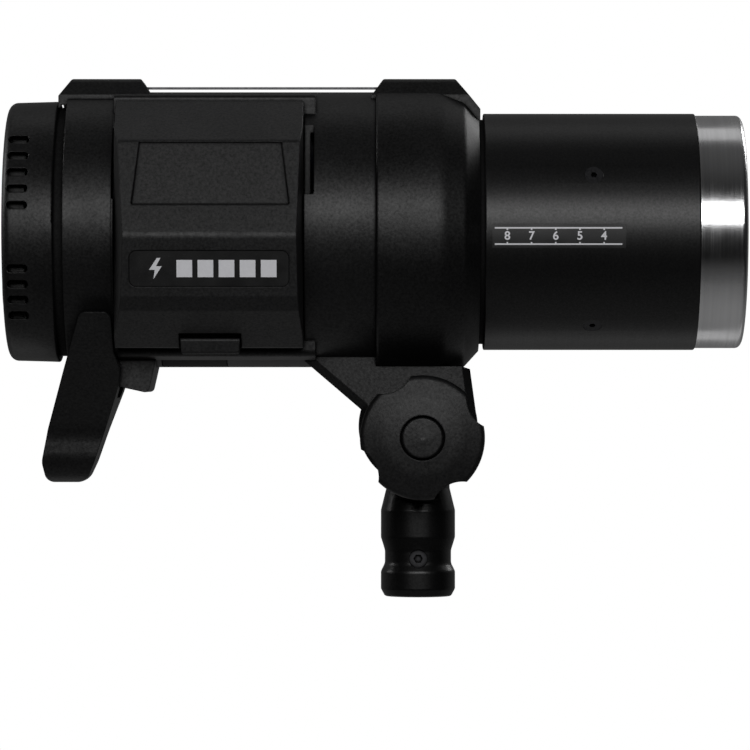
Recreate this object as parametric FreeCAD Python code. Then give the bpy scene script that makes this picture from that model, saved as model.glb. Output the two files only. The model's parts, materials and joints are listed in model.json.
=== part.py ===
import FreeCAD, Part
import math
import os

# Battery monolight strobe on a tilting stand adapter.
# Units are millimetres, +Z is up and +X is the way the light leaves.
# The origin is the centre of the stand socket's mouth.

V = FreeCAD.Vector
X_DIR = V(1, 0, 0)
Y_DIR = V(0, 1, 0)
Z_DIR = V(0, 0, 1)

# ---------------------------------------------------------------- driving dimensions
# Heights named Z are measured from the socket mouth; LEVEL, TOP and LOW values from the lamp axis.
AXIS_Z = 154.2            # lamp axis above the socket mouth
TILT_X = 1.5              # tilt axis, a little in front of the socket axis
TILT_Z = 67.5
GAP = 0.3                 # clearance between bodies that move apart
RUN = 0.06                # radial clearance of a shaft in its hole
WALL = 2.4                # thickness of the moulded shells

REAR_FACE_X = -172.6
CAP_FRONT_X = -151.2
CAP_R = 55.1
GROOVE_R = 52.6
COLLAR_REAR_X = -147.0
COLLAR_FRONT_X = -127.0
CASING_R = 58.2           # casing and rear collar, centred a little above the lamp axis
CASING_RISE = 0.9
CASING_FRONT_X = -17.8
FRONT_COLLAR_R = 61.0
FRONT_COLLAR_END_X = 25.4
TUBE_REAR_X = 27.5
TUBE_END_X = 116.8
TUBE_R = 50.0
TUBE_BORE_R = 47.5
RING_R = 49.2
RING_END_X = 136.4
BOSS_TOP = 64.0           # flat tops of both bosses above the lamp axis
BOSS_HALF_Y = 21.0
STRAP_HALF_Y = 3.0
STRAP_LOW = 60.5
STRAP_HIGH = 61.2

BAY_WALL_Y = -34.0        # flat wall that the battery slides up against
BAY_REAR_X = -126.2
BAY_FRONT_X = -47.4
BAY_TOP = 55.4
BAY_BOTTOM = -50.0
BATTERY_REAR_X = -125.7
BATTERY_FRONT_X = -48.0
BATTERY_OUT_Y = -78.5
BATTERY_TOP = 54.8
BATTERY_LOW = -49.4

SLOT_HEIGHT = 3.3
SLOT_REAR_X = -170.4
SLOT_FRONT_X = -161.7
SLOT_INNER_R = 47.0
SLOT_LEVELS = [9.5 + 6.9 * k for k in range(5)] + [-16.6 - 6.4 * k for k in range(4)]

PANEL_R = 43.7
PANEL_REAR_X = -168.5
PANEL_FRONT_X = -165.9
BOARD_REAR_X = -158.6
DIAL_Z = -20.5
DIAL_R = 14.5
SIDE_BUTTON_Y = 24.5
SIDE_BUTTON_Z = -17.0
SIDE_BUTTON_R = 5.0
SOFT_KEY_Y = 15.0
SOFT_KEY_Z = 0.0
KEY_PROUD = 2.2            # how far the keys stand out of the rear panel
KEY_END_X = -162.9

HUB_R = 25.0              # round end of the cheeks, set above and behind the tilt axis
HUB_X = -0.1
HUB_Z = 72.1
CHEEK_CHAMFER = 3.4
SWING_R = 28.2            # room for the cheeks to swing past the adapter
CHEEK_IN_Y = 12.0
CHEEK_OUT_Y = 22.0
TONGUE_R = 22.0
TONGUE_HALF_Y = 11.0
BOLT_R = 4.0
KNOB_R = 26.0
KNOB_BACK_Y = -23.7
KNOB_FACE_Y = -44.5
SCALLOP_R = 13.0
SCALLOP_DEPTH = 3.7
SCALLOP_START_DEG = 28.0

SOCKET_R = 8.05
SOCKET_DEPTH = 32.0
CROSS_HOLE_Z = 16.2
CROSS_HOLE_R = 4.05
PANEL_SCREW_ANGLES = (90, 210, 330)
PANEL_SCREW_REACH = 40.2
DIAL_REAR_X = -175.2

PORT_REAR_X = -107.6
PORT_FRONT_X = -80.6
PORT_LOW_Y = -19.4
PORT_HIGH_Y = -5.0
PORT_HINGE_R = 0.6
SYNC_X = -99.5
SOCKETS_Y = -12.5

SCREW_X = 72.5
SCREW_ANGLES = (26.6, -53.2)
SCALE_REAR_X = 30.3
SCALE_FRONT_X = 85.6
SCALE_LOW = -8.0
SCALE_TOP = 1.8
CAPACITOR_R = 16.8
CAPACITOR_CENTRES = ((33.0, 13.0), (24.5, -26.0), (-6.0, 35.0), (-13.0, -27.0))
CELL_LEVELS = (28.0, 9.0, -10.0, -29.0)
CONTACT_LEVELS = (-36.0, -30.0, -24.0)

GRIP_TOP = 34.4
GRIP_LOW = 8.8
GRIP_DEPTH = 4.2
LATCH_REAR_X = -98.6
LATCH_FRONT_X = -73.8

HANDLE_LOW_Z = 48.3
HANDLE_TOP_Z = 119.6
MOUNT_HALF_Y = 24.0
HANDLE_SCREW_X = -117.0
HANDLE_SCREW_Y = 14.0


# ---------------------------------------------------------------- drawing helpers
def rounded_wire(corners, place):
    """Closed wire through (u, v) or (u, v, radius) corners, each rounded by its own radius."""
    points = [V(c[0], c[1], 0) for c in corners]
    radii = [c[2] if len(c) > 2 else 0 for c in corners]
    count = len(points)
    turns = []
    for i, here in enumerate(points):
        if radii[i] == 0:
            turns.append((here, here, here))
            continue
        to_last = (points[i - 1] - here).normalize()
        to_next = (points[(i + 1) % count] - here).normalize()
        half = to_last.getAngle(to_next) / 2
        reach = radii[i] / math.tan(half)
        inward = (to_last + to_next).normalize()
        middle = here + inward * (radii[i] / math.sin(half) - radii[i])
        turns.append((here + to_last * reach, middle, here + to_next * reach))
    edges = []
    for i, (start, middle, end) in enumerate(turns):
        if (end - start).Length > 1e-6:
            edges.append(Part.Arc(place(start), place(middle), place(end)).toShape())
        following = turns[(i + 1) % count][0]
        if (following - end).Length > 1e-6:
            edges.append(Part.makeLine(place(end), place(following)))
    return Part.Wire(edges)


def turned(corners):
    """Solid turned about the lamp axis from (x, radius) corners."""
    wire = rounded_wire(corners, lambda p: V(p.x, 0, AXIS_Z + p.y))
    return Part.Face(wire).revolve(V(0, 0, AXIS_Z), X_DIR, 360)


def turned_z(corners):
    """Solid turned about the socket axis from (radius, z) corners."""
    wire = rounded_wire(corners, lambda p: V(p.x, 0, p.y))
    return Part.Face(wire).revolve(V(0, 0, 0), Z_DIR, 360)


def turned_tilt(corners):
    """Solid turned about the tilt axis from (radius, y) corners."""
    wire = rounded_wire(corners, lambda p: V(TILT_X + p.x, p.y, TILT_Z))
    return Part.Face(wire).revolve(V(TILT_X, 0, TILT_Z), Y_DIR, 360)


def plate_xz(corners, y_low, y_high):
    """Outline of (x, z) corners pushed along Y."""
    wire = rounded_wire(corners, lambda p: V(p.x, y_low, p.y))
    return Part.Face(wire).extrude(V(0, y_high - y_low, 0))


def plate_yz(corners, x_low, x_high):
    """Outline of (y, height above the lamp axis) corners pushed along X."""
    wire = rounded_wire(corners, lambda p: V(x_low, p.x, AXIS_Z + p.y))
    return Part.Face(wire).extrude(V(x_high - x_low, 0, 0))


def plate_xy(corners, z_low, z_high):
    """Outline of (x, y) corners pushed along Z."""
    wire = rounded_wire(corners, lambda p: V(p.x, p.y, z_low))
    return Part.Face(wire).extrude(V(0, 0, z_high - z_low))


def block(x_low, x_high, y_low, y_high, z_low, z_high):
    return Part.makeBox(x_high - x_low, y_high - y_low, z_high - z_low, V(x_low, y_low, z_low))


def lamp_block(x_low, x_high, y_low, y_high, z_low, z_high):
    """Block with its heights measured from the lamp axis."""
    return block(x_low, x_high, y_low, y_high, AXIS_Z + z_low, AXIS_Z + z_high)


def rod_x(radius, x_low, x_high, y=0.0, z=0.0):
    """Round rod along X, its height measured from the lamp axis."""
    return Part.makeCylinder(radius, x_high - x_low, V(x_low, y, AXIS_Z + z), X_DIR)


def rod_y(radius, y_low, y_high, x, z):
    return Part.makeCylinder(radius, y_high - y_low, V(x, y_low, z), Y_DIR)


def rod_z(radius, z_low, z_high, x=0.0, y=0.0):
    return Part.makeCylinder(radius, z_high - z_low, V(x, y, z_low), Z_DIR)


def box_corners(u_low, u_high, v_low, v_high, radius):
    corners = ((u_low, v_low), (u_high, v_low), (u_high, v_high), (u_low, v_high))
    return [(u, v, radius) for u, v in corners]


def cut_all(shape, tools):
    for tool in tools:
        shape = shape.cut(tool)
    return shape


def fuse_all(shapes):
    result = shapes[0]
    for shape in shapes[1:]:
        result = result.fuse(shape)
    return result.removeSplitter()


def save(name, shape, pieces=1):
    """Write one node, after testing that it is sound and has as many solids as it should."""
    if not shape.isValid() or len(shape.Solids) != pieces:
        raise ValueError(name + ": valid " + str(shape.isValid()) + ", solids " + str(len(shape.Solids)))
    shape.exportStep("parts/" + name + ".step")


def ring_spots(reach, angles):
    """Points on a circle, by angles in degrees."""
    return [(reach * math.cos(math.radians(a)), reach * math.sin(math.radians(a))) for a in angles]


def hex_prism(across_corners, y_low, y_high, x, z):
    """Six-sided prism along Y."""
    corners = ring_spots(across_corners / 2, [60 * k for k in range(6)])
    return plate_xz([(x + u, z + v) for u, v in corners], y_low, y_high)


def casing_round(radius, x_low, x_high):
    """Round body of the casing, whose centre sits a little above the lamp axis."""
    return rod_x(radius, x_low, x_high, 0, CASING_RISE)


def bay_shelf():
    """Flat-sided bulge of the casing that carries the battery bay."""
    section = [(0, CASING_R + CASING_RISE - 1), (-14.0, 57.4, 20), (BAY_WALL_Y, 56.2, 2),
               (BAY_WALL_Y, -52.8, 3), (-12.0, -55.6, 8), (0, -55.6)]
    return plate_yz(section, COLLAR_FRONT_X, BAY_FRONT_X + 4.4)


# ---------------------------------------------------------------- stand adapter
def stand_adapter():
    body = turned_z([
        (0, 0), (14.0, 0, 1.5), (15.7, 3.2, 1.5), (15.7, 10.6, 3), (14.0, 14.0, 4), (14.0, 19.4, 4),
        (15.7, 25.0, 4), (15.7, 36.4, 3), (13.4, 45.8), (13.4, 60.0), (0, 60.0)])
    swing = [rod_y(SWING_R, y, y + 40.0, TILT_X, TILT_Z) for y in (TONGUE_HALF_Y, -TONGUE_HALF_Y - 40.0)]
    body = cut_all(body, swing)
    tongue = rod_y(TONGUE_R, -TONGUE_HALF_Y, TONGUE_HALF_Y, TILT_X, TILT_Z)
    body = fuse_all([body, tongue])
    holes = [rod_z(SOCKET_R, -1, SOCKET_DEPTH),
             rod_y(BOLT_R + RUN, -20, 20, TILT_X, TILT_Z),
             rod_y(CROSS_HOLE_R, -20, 20, 0, CROSS_HOLE_Z)]
    return cut_all(body, holes)


def grub_screw():
    body = rod_y(CROSS_HOLE_R, -12.6, -8.6, 0, CROSS_HOLE_Z)
    return body.cut(hex_prism(4.0, -13.0, -10.4, 0, CROSS_HOLE_Z))


def friction_discs():
    """One disc each side of the tongue, bonded to it."""
    discs = []
    for side in (-1, 1):
        near = side * TONGUE_HALF_Y
        far = side * (CHEEK_IN_Y - GAP)
        low, high = min(near, far), max(near, far)
        hole = rod_y(6.5, low - 1, high + 1, TILT_X, TILT_Z)
        discs.append(rod_y(20.5, low, high, TILT_X, TILT_Z).cut(hole))
    return Part.makeCompound(discs)


def clamp_shoe():
    return rod_y(CROSS_HOLE_R - RUN, 8.5, 10.2, 0, CROSS_HOLE_Z)


def lock_stem():
    return rod_y(CROSS_HOLE_R - RUN, 10.4, 28.0, 0, CROSS_HOLE_Z)


def lock_knob():
    """Small T-shaped wing knob on the far side of the adapter."""
    hub = rod_y(6.5, 17.0, 31.0, 0, CROSS_HOLE_Z)
    wing = plate_xz(box_corners(-13.0, 13.0, CROSS_HOLE_Z - 3.4, CROSS_HOLE_Z + 3.4, 3.2), 20.5, 31.0)
    return fuse_all([hub, wing]).cut(rod_y(CROSS_HOLE_R - RUN, 16.0, 28.0, 0, CROSS_HOLE_Z))


# ---------------------------------------------------------------- tilt joint
def cheek_outline(inset):
    """Side view of the bracket above the tilt axis, with its two outer edges moved inward."""
    rake_x, rake_z = 0.65 * inset, 0.76 * inset
    rake = [(-52.5, 103.5), (-44.7, 96.8), (-23.8, 78.9)]
    return [(x + rake_x, z + rake_z) for x, z in rake] + [
        (-14.0, 60.0), (14.0, 60.0), (25.0 - inset, 72.0), (20.6 - inset, 104.0)]


def bracket_blank():
    """Hub and web in one piece, with a broad chamfer round the outer face of each cheek."""
    core_y = CHEEK_OUT_Y - CHEEK_CHAMFER
    hub = rod_y(HUB_R, -core_y, core_y, HUB_X, HUB_Z)
    web = plate_xz(cheek_outline(0), -core_y, core_y)
    layers = [hub, web]
    for side in (-1, 1):
        start = V(HUB_X, side * core_y, HUB_Z)
        layers.append(Part.makeCone(HUB_R, HUB_R - CHEEK_CHAMFER, CHEEK_CHAMFER, start, Y_DIR * side))
        sections = []
        for inset in (0, CHEEK_CHAMFER):
            level = side * (core_y + inset)
            sections.append(rounded_wire(cheek_outline(inset), lambda p: V(p.x, level, p.y)))
        layers.append(Part.makeLoft(sections, True, True))
    return fuse_all(layers)


def tilt_bracket():
    round_slot = rod_y(31.5, -CHEEK_IN_Y, CHEEK_IN_Y, TILT_X, TILT_Z).common(block(-40, 40, -20, 20, 30, 91.0))
    rear_slot = block(-60, -15, -CHEEK_IN_Y, CHEEK_IN_Y, 60, 91.0)
    bolt_hole = rod_y(BOLT_R + RUN, -30, 30, TILT_X, TILT_Z)
    nut_seat = hex_prism(14.2, 16.0, 30.0, TILT_X, TILT_Z)
    lamp = [rod_x(FRONT_COLLAR_R, CASING_FRONT_X, 40), casing_round(CASING_R, -80, CASING_FRONT_X), bay_shelf()]
    return cut_all(bracket_blank(), [round_slot, rear_slot, bolt_hole, nut_seat] + lamp)


def clamp_nut():
    nut = hex_prism(14.0, 16.0, 21.8, TILT_X, TILT_Z)
    return nut.cut(rod_y(BOLT_R + RUN, 10, 30, TILT_X, TILT_Z))


def pressure_washer():
    return rod_y(9.5, -23.6, -22.1, TILT_X, TILT_Z).cut(rod_y(BOLT_R + RUN, -30, -20, TILT_X, TILT_Z))


def tilt_bolt():
    return rod_y(BOLT_R, -39.0, 21.5, TILT_X, TILT_Z)


def tilt_knob():
    body = turned_tilt([(0, KNOB_BACK_Y), (24.8, KNOB_BACK_Y, 1.0), (KNOB_R, KNOB_BACK_Y - 2.0, 1.5),
                        (KNOB_R, -41.2, 2.6), (16.0, -43.8, 30), (9.6, KNOB_FACE_Y), (0, KNOB_FACE_Y)])
    centres = ring_spots(KNOB_R - SCALLOP_DEPTH + SCALLOP_R, [SCALLOP_START_DEG + 90 * k for k in range(4)])
    tools = [rod_y(SCALLOP_R, -60, -20, TILT_X + x, TILT_Z + z) for x, z in centres]
    seat = rod_y(9.4, -60, -40.0, TILT_X, TILT_Z)
    stem = rod_y(BOLT_R, -39.0, -20, TILT_X, TILT_Z)
    return cut_all(body, tools + [seat, stem])


def tilt_knob_cap():
    return turned_tilt([(0, -40.0), (8.5, -40.0), (8.5, -44.9, 0.8), (0, -45.3)])


# ---------------------------------------------------------------- rear end
def rear_cap():
    inner_r = CAP_R - WALL
    shelf_x = PANEL_FRONT_X + WALL
    body = turned([(CAP_FRONT_X, CAP_R, 0.8), (REAR_FACE_X, CAP_R - 0.6, 3.8),
                   (REAR_FACE_X, PANEL_R + GAP, 0.8), (PANEL_FRONT_X, PANEL_R + GAP),
                   (PANEL_FRONT_X, PANEL_R - 6), (shelf_x, PANEL_R - 6),
                   (shelf_x, inner_r - 1, 3), (CAP_FRONT_X, inner_r - 1)])
    screws = ring_spots(PANEL_SCREW_REACH, PANEL_SCREW_ANGLES)
    tools = [rod_x(1.05, PANEL_FRONT_X - 1, -160, y, z) for y, z in screws]
    for level in SLOT_LEVELS:
        near = math.sqrt(SLOT_INNER_R ** 2 - level ** 2)
        for side in (-1, 1):
            low, high = sorted((side * near, side * 60))
            half = SLOT_HEIGHT / 2
            outline = box_corners(SLOT_REAR_X, SLOT_FRONT_X, AXIS_Z + level - half, AXIS_Z + level + half, 1.6)
            tools.append(plate_xz(outline, low, high))
    return cut_all(body, tools)


def cap_spigot():
    """Dark ring that joins the cap to the collar and shows as the groove between them."""
    return turned([(-156.0, 51.6), (CAP_FRONT_X, 51.6), (CAP_FRONT_X, GROOVE_R), (COLLAR_REAR_X, GROOVE_R),
                   (COLLAR_REAR_X, 55.6), (-140.0, 55.6), (-140.0, 50.0), (-156.0, 50.0)])


def top_boss(foot_rear, flat_rear, flat_front, foot_front, rear_level, front_level):
    """Raised boss over the top of a collar, sloping down at both ends."""
    outline = [(foot_rear, AXIS_Z + 40), (foot_rear, AXIS_Z + rear_level, 1),
               (flat_rear, AXIS_Z + BOSS_TOP, 1.5), (flat_front, AXIS_Z + BOSS_TOP, 1.5),
               (foot_front, AXIS_Z + front_level, 0.5),
               (foot_front, AXIS_Z + 40)]
    long_way = plate_xz(outline, -BOSS_HALF_Y, BOSS_HALF_Y)
    half = BOSS_HALF_Y
    section = [(-half, 40), (half, 40), (half, 57), (half - 6, BOSS_TOP, 5), (6 - half, BOSS_TOP, 5),
               (-half, 57)]
    across = plate_yz(section, foot_rear - 1, foot_front + 1)
    return long_way.common(across)


def top_strap():
    """Thin strip between the two bosses, clear of the casing below it."""
    return lamp_block(-118.0, -14.0, -STRAP_HALF_Y, STRAP_HALF_Y, STRAP_LOW, STRAP_HIGH)


def rear_collar():
    ring = casing_round(CASING_R, COLLAR_REAR_X, COLLAR_FRONT_X)
    boss = top_boss(-151.0, -145.5, -116.5, -112.0, 56.5, 56.5)
    body = fuse_all([ring, boss])
    tools = [rod_x(CAP_R + 0.3, -160, COLLAR_REAR_X), rod_x(55.6, -160, -139.9),
             casing_round(CASING_R - WALL, -150, COLLAR_FRONT_X + 1),
             casing_round(CASING_R, COLLAR_FRONT_X, -100), bay_shelf(), top_strap()]
    return cut_all(body, tools)


# ---------------------------------------------------------------- body casing
def body_casing():
    outer = casing_round(CASING_R, COLLAR_FRONT_X, CASING_FRONT_X)
    body = fuse_all([outer, bay_shelf()])
    cavity = casing_round(CASING_R - WALL, COLLAR_FRONT_X - 1, CASING_FRONT_X + 1)
    wall = lamp_block(BAY_REAR_X - WALL, BAY_FRONT_X + WALL, -60, BAY_WALL_Y + WALL, -60, 60)
    pocket = lamp_block(BAY_REAR_X, BAY_FRONT_X, -70, BAY_WALL_Y, -60, 60)
    tools = [cavity.cut(wall), pocket, belly_space(0.0)]
    rear_notch = box_corners(-127.5, BAY_REAR_X + 1, AXIS_Z + 12.0, AXIS_Z + 42.0, 0.9)
    front_notch = box_corners(BAY_FRONT_X - 1, -43.4, AXIS_Z + 14.0, AXIS_Z + 46.0, 0.9)
    tools += [plate_xz(notch, -70, BAY_WALL_Y - 6.0) for notch in (rear_notch, front_notch)]
    return cut_all(body, tools)


def belly_space(inset):
    return lamp_block(-110.3 + inset, -45.6 - inset, -22 + inset, 22 - inset, -70, -49.0)


def belly_skin(thickness):
    outer = casing_round(CASING_R, -112, -44)
    return outer.cut(casing_round(CASING_R - thickness, -113, -43))


def port_hinge(radius):
    """Round edge that the port cover turns about, along the side nearest the lamp's middle."""
    level = CASING_RISE - math.sqrt(CASING_R ** 2 - PORT_HIGH_Y ** 2) + PORT_HINGE_R
    return rod_x(radius, PORT_REAR_X, PORT_FRONT_X, PORT_HIGH_Y, level)


def belly_panel():
    body = belly_skin(WALL).common(belly_space(0.1))
    fit = 0.35
    cover_space = block(PORT_REAR_X - fit, PORT_FRONT_X + fit, PORT_LOW_Y - fit, PORT_HIGH_Y + 1.0, 80, 110)
    seat = belly_skin(1.6).common(cover_space)
    window = block(-104.5, -83.5, -17.0, -8.0, 80, 110)
    return cut_all(body, [seat, window])


def port_cover():
    space = block(PORT_REAR_X, PORT_FRONT_X, PORT_LOW_Y, PORT_HIGH_Y, 80, 110)
    return fuse_all([belly_skin(2 * PORT_HINGE_R).common(space), port_hinge(PORT_HINGE_R)])


def usb_socket():
    shell = plate_xy(box_corners(-93.5, -85.5, SOCKETS_Y - 1.5, SOCKETS_Y + 1.5, 0.8), 100.8, 108.0)
    return shell.cut(plate_xy(box_corners(-93.0, -86.0, SOCKETS_Y - 1.0, SOCKETS_Y + 1.0, 0.5), 90, 106.5))


def sync_socket():
    body = rod_z(3.6, 101.0, 109.8, SYNC_X, SOCKETS_Y)
    return body.cut(rod_z(1.8, 90, 108.8, SYNC_X, SOCKETS_Y))


# ---------------------------------------------------------------- front end
def front_collar():
    ring = turned([(CASING_FRONT_X, FRONT_COLLAR_R, 1.2), (9.0, FRONT_COLLAR_R, 14), (19.4, 57.2, 4),
                   (FRONT_COLLAR_END_X, 50.6), (FRONT_COLLAR_END_X, TUBE_BORE_R), (21.5, TUBE_BORE_R),
                   (16.0, 54.0, 6), (8.0, 57.8, 5), (CASING_FRONT_X, 57.8)])
    boss = top_boss(-19.8, -14.6, 15.5, FRONT_COLLAR_END_X + 0.6, 56.5, 51.0)
    inside = turned([(7.0, 0), (7.0, 58.5), (19.0, 55.0), (24.0, 49.0), (30.0, 48.0), (30.0, 0)])
    boss = cut_all(boss, [rod_x(58.5, -30, 8.0), casing_round(CASING_R, -30, CASING_FRONT_X), inside])
    body = fuse_all([ring, boss])
    return cut_all(body, [top_strap(), rod_x(TUBE_BORE_R, 10, 40)])


def neck_ring():
    return turned([(14.0, 45.0), (14.0, TUBE_BORE_R), (34.0, TUBE_BORE_R), (34.0, 45.0)])


def scale_space(outer, inner):
    ring = rod_x(outer, SCALE_REAR_X, SCALE_FRONT_X).cut(rod_x(inner, SCALE_REAR_X - 1, SCALE_FRONT_X + 1))
    return ring.common(lamp_block(SCALE_REAR_X, SCALE_FRONT_X, -60, 0, SCALE_LOW, SCALE_TOP))


def radial_cone(angle, side, top_r, low_r, top, low):
    """Cone along a radius of the tube; angle is above the horizontal on the given side."""
    reach = V(0, side * math.cos(math.radians(angle)), math.sin(math.radians(angle)))
    foot = V(SCREW_X, 0, AXIS_Z) + reach * low
    if low_r == top_r:
        return Part.makeCylinder(low_r, top - low, foot, reach)
    return Part.makeCone(low_r, top_r, top - low, foot, reach)


def front_tube():
    body = turned([(TUBE_REAR_X, TUBE_R, 0.5), (TUBE_END_X, TUBE_R, 0.6), (TUBE_END_X, TUBE_BORE_R),
                   (TUBE_REAR_X, TUBE_BORE_R)])
    tools = [scale_space(TUBE_R + 1, TUBE_R - 0.6)]
    for angle in SCREW_ANGLES:
        for side in (-1, 1):
            tools.append(radial_cone(angle, side, 4.3, 1.75, TUBE_R + 0.3, TUBE_R - 2.25))
            tools.append(radial_cone(angle, side, 1.75, 1.7, TUBE_R - 2.2, TUBE_R - 4))
    return cut_all(body, tools)


def scale_plate():
    return scale_space(TUBE_R - 0.25, TUBE_R - 0.6)


def tube_screws():
    screws = []
    for angle in SCREW_ANGLES:
        for side in (-1, 1):
            head = radial_cone(angle, side, 3.85, 1.6, TUBE_R - 0.15, TUBE_R - 2.4)
            shank = radial_cone(angle, side, 1.6, 1.6, TUBE_R - 2.35, TUBE_R - 7.0)
            socket = Part.makePolygon([V(u, v, 0) for u, v in ring_spots(1.35, range(0, 361, 60))])
            socket = Part.Face(socket).extrude(V(0, 0, 2.0))
            socket.rotate(V(0, 0, 0), X_DIR, side * (angle - 90))
            reach = V(0, side * math.cos(math.radians(angle)), math.sin(math.radians(angle)))
            socket.translate(V(SCREW_X, 0, AXIS_Z) + reach * (TUBE_R - 1.8))
            screws.append(fuse_all([head, shank]).cut(socket))
    return Part.makeCompound(screws)


def lamp_bulkhead():
    body = turned([(64.0, TUBE_BORE_R), (79.0, TUBE_BORE_R), (79.0, 25.0), (76.0, 25.0), (76.0, 42.2),
                   (64.0, 42.2)])
    return cut_all(body, [radial_cone(angle, side, 1.6, 1.6, TUBE_R, TUBE_R - 7.0)
                          for angle in SCREW_ANGLES for side in (-1, 1)])


def front_ring():
    return turned([(109.0, TUBE_BORE_R), (TUBE_END_X, TUBE_BORE_R), (TUBE_END_X, RING_R),
                   (RING_END_X, RING_R, 2.4), (RING_END_X, 46.7, 0.8), (131.0, 45.6), (131.0, 43.6),
                   (129.6, 43.6), (129.6, 45.4), (109.0, 45.4)])


def front_glass():
    return rod_x(45.2, 126.6, 129.6)


def reflector_dish():
    body = turned([(126.4, 45.2), (126.4, 44.4), (93.0, 38.0, 12), (90.8, 14.4), (90.0, 14.4),
                   (92.0, 39.2, 13), (124.0, 45.2)])
    return cut_all(body, [rod_x(5.0, 85, 100, 0, side * 27) for side in (-1, 1)])


def flashtube():
    ring = Part.makeTorus(27.0, 4.0, V(101.0, 0, AXIS_Z), X_DIR)
    legs = [rod_x(3.6, 83.0, 101.0, 0, side * 27) for side in (-1, 1)]
    return fuse_all([ring] + legs)


def modelling_led():
    return fuse_all([rod_x(13.6, 90.0, 92.6), rod_x(9.0, 92.6, 95.0)])


def led_heatsink():
    body = rod_x(20.0, 60.0, 90.0)
    fin_gaps = (-16.0, -10.7, -5.3, 0.0, 5.3, 10.7, 16.0)
    return cut_all(body, [lamp_block(59, 84, -25, 25, z - 1.4, z + 1.4) for z in fin_gaps])


# ---------------------------------------------------------------- parts inside the casing
def flash_capacitors():
    return Part.makeCompound([rod_x(CAPACITOR_R, -116.0, -44.0, y, z) for y, z in CAPACITOR_CENTRES])


def main_board():
    return lamp_block(-116.0, -44.0, -29.0, 12.0, -2.0, -0.4)


def charging_transformer():
    body = lamp_block(-100.0, -70.0, -27.0, -5.0, -0.4, 15.4)
    return body.makeFillet(1.5, [e for e in body.Edges if abs(e.tangentAt(e.FirstParameter).z) > 0.9])


def body_contacts():
    out_y = BAY_WALL_Y - 6.0
    blades = [lamp_block(-92.0, -84.0, out_y, BAY_WALL_Y, z - 0.5, z + 0.5) for z in CONTACT_LEVELS]
    return Part.makeCompound(blades)


def fan_frame():
    body = plate_yz(box_corners(-30, 30, -30, 30, 4), -156.0, -141.0)
    ring = body.cut(rod_x(28.6, -157, -140))
    struts = [lamp_block(-143.0, -141.0, -29.5, 29.5, -1.5, 1.5),
              lamp_block(-143.0, -141.0, -1.5, 1.5, -29.5, 29.5)]
    post = [rod_x(13.0, -143.0, -141.0), rod_x(2.0, -153.0, -141.0)]
    corners = [(y, z) for y in (-25, 25) for z in (-25, 25)]
    return cut_all(fuse_all([ring] + struts + post), [rod_x(2.1, -157, -140, y, z) for y, z in corners])


def fan_rotor():
    hub = rod_x(13.0, -154.5, -143.8)
    blades = []
    for k in range(7):
        blade = lamp_block(-153.5, -144.8, -1.0, 1.0, 11.0, 27.6)
        blade.rotate(V(-149.1, 0, AXIS_Z), Z_DIR, 32)
        blade.rotate(V(0, 0, AXIS_Z), X_DIR, 360.0 * k / 7)
        blades.append(blade)
    body = fuse_all([hub] + blades)
    return body.common(rod_x(27.8, -160, -143.7)).cut(rod_x(2.0 + RUN, -153.0 - GAP, -140))


# ---------------------------------------------------------------- rear controls
def soft_key_outline(side, grow):
    return box_corners(side * SOFT_KEY_Y - 7 - grow, side * SOFT_KEY_Y + 7 + grow,
                       SOFT_KEY_Z - 2.4 - grow, SOFT_KEY_Z + 2.4 + grow, 1.6 + grow)


def rear_panel():
    body = rod_x(PANEL_R, PANEL_REAR_X, PANEL_FRONT_X)
    before, after = PANEL_REAR_X - 1, PANEL_FRONT_X + 1
    tools = [plate_yz(box_corners(-23.0, 23.0, 7.0, 29.0, 2), before, after),
             plate_yz(box_corners(-25.0, 25.0, 5.0, 31.0, 3), before, PANEL_REAR_X + 1.2),
             rod_x(4.0, before, after, 0, DIAL_Z),
             rod_x(DIAL_R + 0.8, before, PANEL_REAR_X + 1.0, 0, DIAL_Z)]
    for side in (-1, 1):
        tools.append(plate_yz(soft_key_outline(side, GAP), before, after))
        tools.append(rod_x(SIDE_BUTTON_R + GAP, before, after, side * SIDE_BUTTON_Y, SIDE_BUTTON_Z))
    for y, z in ring_spots(PANEL_SCREW_REACH, PANEL_SCREW_ANGLES):
        tools.append(rod_x(1.1, before, after, y, z))
        tools.append(rod_x(2.2, before, PANEL_REAR_X + 1.4, y, z))
    return cut_all(body, tools)


def rear_screws():
    screws = []
    for y, z in ring_spots(PANEL_SCREW_REACH, PANEL_SCREW_ANGLES):
        head = rod_x(2.1, PANEL_REAR_X + 0.2, PANEL_REAR_X + 1.4, y, z)
        screw = fuse_all([head, rod_x(1.05, PANEL_REAR_X + 1.4, -163.6, y, z)])
        screws.append(screw.cut(rod_x(0.8, PANEL_REAR_X - 1, PANEL_REAR_X + 0.9, y, z)))
    return Part.makeCompound(screws)


def display_window():
    return plate_yz(box_corners(-24.9, 24.9, 5.1, 30.9, 2.9), PANEL_REAR_X + 0.1, PANEL_REAR_X + 1.2)


def display_module():
    return plate_yz(box_corners(-22.7, 22.7, 7.3, 28.7, 1.0), PANEL_REAR_X + 1.6, -161.0)


def control_board():
    """Round board with the four key switches and the dial's encoder soldered on."""
    board = rod_x(36.5, BOARD_REAR_X, BOARD_REAR_X + 1.6)
    switches = []
    for side in (-1, 1):
        switches.append(rod_x(2.0, -161.4, BOARD_REAR_X, side * SOFT_KEY_Y, SOFT_KEY_Z))
        switches.append(rod_x(2.0, -161.4, BOARD_REAR_X, side * SIDE_BUTTON_Y, SIDE_BUTTON_Z))
    encoder = plate_yz(box_corners(-7, 7, DIAL_Z - 7, DIAL_Z + 7, 1), -164.6, BOARD_REAR_X)
    return fuse_all([board, encoder] + switches).cut(rod_x(3.0 + RUN, -168.0, -160.2, 0, DIAL_Z))


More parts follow.
